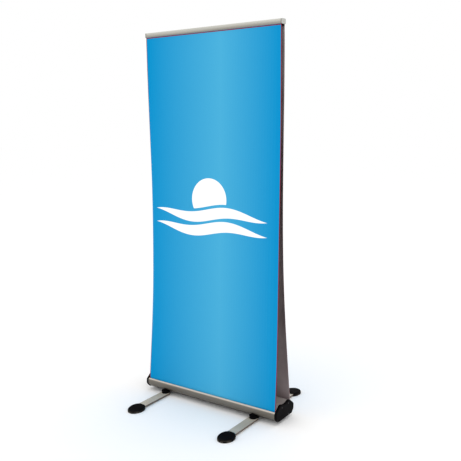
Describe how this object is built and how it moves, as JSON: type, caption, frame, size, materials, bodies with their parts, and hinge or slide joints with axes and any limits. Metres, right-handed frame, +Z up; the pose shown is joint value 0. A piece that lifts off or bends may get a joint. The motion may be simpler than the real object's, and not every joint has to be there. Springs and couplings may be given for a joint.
{
  "type": "roll-up banner stand",
  "caption": "Double-sided outdoor roll-up banner stand: two films rise from one cassette on swing-out feet to a clamping top rail on a telescopic mast.",
  "frame": {"origin": "on the floor under the middle of the stand, at the bottom centre of the bounding box", "axes": "+Z up along the height, X along the cassette and the banner width with +X to the right seen from the front, -Y towards the front film"},
  "size_m": [0.88, 0.764, 2.014],
  "materials": {
    "silver_extrusion": "satin anodised, fine lines along the extrusion",
    "mast_tube": "satin anodised tube",
    "roller_tube": "mill finish tube",
    "foot_bar": "satin anodised flat bar",
    "black_plastic": "fine moulded grain",
    "grey_plastic": "satin moulded",
    "natural_nylon": "plain moulded",
    "black_rubber": "matt, fine grain",
    "steel": "zinc plated",
    "black_steel": "black oxide",
    "banner_print": "printed satin film, blue with a lighter middle",
    "film_back": "grey opaque film back"
  },
  "bodies": {
    "base": {"cassette_body": "silver_extrusion", "left_end_cap": "black_plastic", "right_end_cap": "black_plastic", "end_cap_screws": "black_steel", "roller_idle_pins": "steel", "front_roller_shaft": "steel", "rear_roller_shaft": "steel", "front_roller_spring": "steel", "rear_roller_spring": "steel", "mast_socket": "black_plastic", "mast_socket_screws": "steel", "mast_lower_tube": "mast_tube", "mast_foot_plug": "black_plastic", "lower_clamp_collar": "black_plastic", "lower_clamp_pin": "steel", "front_left_foot_hub": "black_plastic", "front_right_foot_hub": "black_plastic", "rear_left_foot_hub": "black_plastic", "rear_right_foot_hub": "black_plastic", "foot_hub_screws": "steel", "foot_pivot_bolts": "steel", "front_banner": "banner_print", "rear_banner": "banner_print"},
    "mast_middle": {"mast_middle_tube": "mast_tube", "mast_middle_glide": "natural_nylon", "upper_clamp_collar": "black_plastic", "upper_clamp_pin": "steel"},
    "mast_top": {"mast_upper_tube": "mast_tube", "mast_upper_glide": "natural_nylon", "mast_head": "black_plastic", "top_rail_core": "silver_extrusion", "left_rail_end_cap": "grey_plastic", "right_rail_end_cap": "grey_plastic", "rail_end_bumpers": "black_rubber"},
    "front_jaw": {"front_rail_jaw": "silver_extrusion"},
    "rear_jaw": {"rear_rail_jaw": "silver_extrusion"},
    "lower_lever": {"lower_clamp_lever": "black_plastic"},
    "upper_lever": {"upper_clamp_lever": "black_plastic"},
    "front_roller": {"front_roller_tube": "roller_tube", "front_roller_drive_plug": "natural_nylon", "front_roller_idle_plug": "natural_nylon", "front_film_winding": "film_back"},
    "front_left_foot": {"front_left_foot_arm": "foot_bar", "front_left_foot_bush": "natural_nylon", "front_left_foot_shoe": "black_rubber"},
    "front_right_foot": {"front_right_foot_arm": "foot_bar", "front_right_foot_bush": "natural_nylon", "front_right_foot_shoe": "black_rubber"},
    "rear_roller": {"rear_roller_tube": "roller_tube", "rear_roller_drive_plug": "natural_nylon", "rear_roller_idle_plug": "natural_nylon", "rear_film_winding": "film_back"},
    "rear_left_foot": {"rear_left_foot_arm": "foot_bar", "rear_left_foot_bush": "natural_nylon", "rear_left_foot_shoe": "black_rubber"},
    "rear_right_foot": {"rear_right_foot_arm": "foot_bar", "rear_right_foot_bush": "natural_nylon", "rear_right_foot_shoe": "black_rubber"}
  },
  "joints": [
    {"name": "mast_middle_slide", "type": "slide", "parent": "base", "child": "mast_middle", "axis": [0, 0, 1], "range_m": [-0.58, 0], "deforming": ["front_banner", "rear_banner"]},
    {"name": "mast_top_slide", "type": "slide", "parent": "mast_middle", "child": "mast_top", "axis": [0, 0, 1], "range_m": [-0.58, 0]},
    {"name": "front_roller_spin", "type": "hinge", "parent": "base", "child": "front_roller", "pos_m": [0, -0.054, 0.052], "axis": [1, 0, 0], "range_deg": [0, 3500]},
    {"name": "rear_roller_spin", "type": "hinge", "parent": "base", "child": "rear_roller", "pos_m": [0, 0.054, 0.052], "axis": [1, 0, 0], "range_deg": [-3500, 0]},
    {"name": "lower_lever_hinge", "type": "hinge", "parent": "base", "child": "lower_lever", "pos_m": [0.0237, 0, 0.702], "axis": [0, -1, 0], "range_deg": [0, 100]},
    {"name": "upper_lever_hinge", "type": "hinge", "parent": "mast_middle", "child": "upper_lever", "pos_m": [-0.0232, 0, 1.338], "axis": [0, 1, 0], "range_deg": [0, 100]},
    {"name": "front_jaw_hinge", "type": "hinge", "parent": "mast_top", "child": "front_jaw", "pos_m": [0, -0.0144, 2.0104], "axis": [-1, 0, 0], "range_deg": [0, 70]},
    {"name": "rear_jaw_hinge", "type": "hinge", "parent": "mast_top", "child": "rear_jaw", "pos_m": [0, 0.0144, 2.0104], "axis": [1, 0, 0], "range_deg": [0, 70]},
    {"name": "front_left_foot_swing", "type": "hinge", "parent": "base", "child": "front_left_foot", "pos_m": [-0.298, -0.086, 0.0095], "axis": [0, 0, 1], "range_deg": [0, 90]},
    {"name": "front_right_foot_swing", "type": "hinge", "parent": "base", "child": "front_right_foot", "pos_m": [0.298, -0.086, 0.0095], "axis": [0, 0, -1], "range_deg": [0, 90]},
    {"name": "rear_left_foot_swing", "type": "hinge", "parent": "base", "child": "rear_left_foot", "pos_m": [-0.298, 0.086, 0.0095], "axis": [0, 0, -1], "range_deg": [0, 90]},
    {"name": "rear_right_foot_swing", "type": "hinge", "parent": "base", "child": "rear_right_foot", "pos_m": [0.298, 0.086, 0.0095], "axis": [0, 0, 1], "range_deg": [0, 90]}
  ],
  "couplings": [
    {"joint": "mast_top_slide", "follows": "mast_middle_slide", "ratio": 1},
    {"joint": "front_roller_spin", "follows": "mast_middle_slide", "rad_per_m": -105.26},
    {"joint": "rear_roller_spin", "follows": "mast_middle_slide", "rad_per_m": 105.26}
  ]
}
